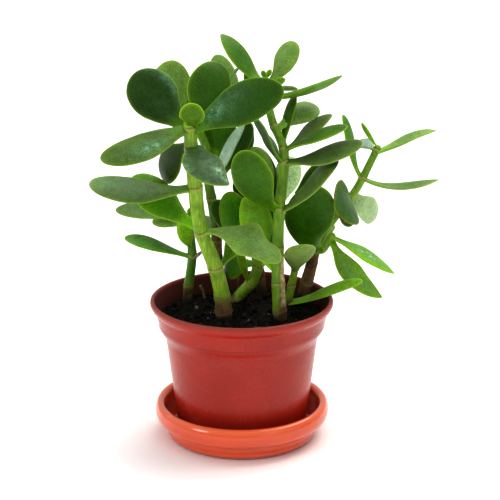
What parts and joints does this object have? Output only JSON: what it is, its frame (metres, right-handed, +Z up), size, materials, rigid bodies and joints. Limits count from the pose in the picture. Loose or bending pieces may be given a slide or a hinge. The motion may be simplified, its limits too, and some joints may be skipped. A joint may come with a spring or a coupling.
{
  "type": "potted jade plant",
  "caption": "Jade plant with thick paddle leaves on jointed green stems, rooted in soil in a round tapered plastic pot that stands in a matching saucer.",
  "frame": {"origin": "middle of the flat underside of the saucer, on the surface it stands on", "axes": "+Z up the plant; -Y is the front that faces the viewer, +X is to the viewer's right"},
  "size_m": [0.225, 0.132, 0.264],
  "materials": {
    "leaf": "waxy satin, dark green with a paler edge and fine pale speckles",
    "green_stem": "smooth yellow green, brown and corky at the foot",
    "bark_stem": "older dull brown green bark",
    "soil": "black crumbly potting mix",
    "pot": "satin moulded brick red",
    "saucer": "glossy orange red"
  },
  "bodies": {
    "root": {"saucer": "saucer", "pot": "pot", "soil": "soil", "branch_right_low": "green_stem", "shoot_middle": "green_stem", "shoot_right": "green_stem", "stem_back": "green_stem", "stem_back_left": "bark_stem", "stem_centre": "green_stem", "stem_front_left": "green_stem", "stem_left": "green_stem", "stem_right": "bark_stem", "leaf_back_1": "leaf", "leaf_back_left_1": "leaf", "leaf_back_left_2": "leaf", "leaf_back_left_3": "leaf", "leaf_back_left_4": "leaf", "leaf_back_left_5": "leaf", "leaf_centre_1": "leaf", "leaf_centre_2": "leaf", "leaf_centre_3": "leaf", "leaf_centre_4": "leaf", "leaf_centre_5": "leaf", "leaf_centre_6": "leaf", "leaf_centre_7": "leaf", "leaf_centre_8": "leaf", "leaf_centre_9": "leaf", "leaf_centre_10": "leaf", "leaf_centre_11": "leaf", "leaf_centre_12": "leaf", "leaf_centre_13": "leaf", "leaf_front_left_1": "leaf", "leaf_front_left_2": "leaf", "leaf_front_left_3": "leaf", "leaf_front_left_4": "leaf", "leaf_front_left_5": "leaf", "leaf_front_left_6": "leaf", "leaf_front_left_7": "leaf", "leaf_front_left_8": "leaf", "leaf_front_left_9": "leaf", "leaf_front_left_10": "leaf", "leaf_front_left_11": "leaf", "leaf_left_1": "leaf", "leaf_left_2": "leaf", "leaf_left_3": "leaf", "leaf_left_4": "leaf", "leaf_middle_1": "leaf", "leaf_middle_2": "leaf", "leaf_right_1": "leaf", "leaf_right_2": "leaf", "leaf_right_3": "leaf", "leaf_right_4": "leaf", "leaf_right_5": "leaf", "leaf_right_6": "leaf", "leaf_right_7": "leaf", "leaf_right_8": "leaf", "leaf_right_low_1": "leaf", "leaf_right_low_2": "leaf", "leaf_right_shoot_1": "leaf", "leaf_right_shoot_2": "leaf"}
  },
  "joints": []
}
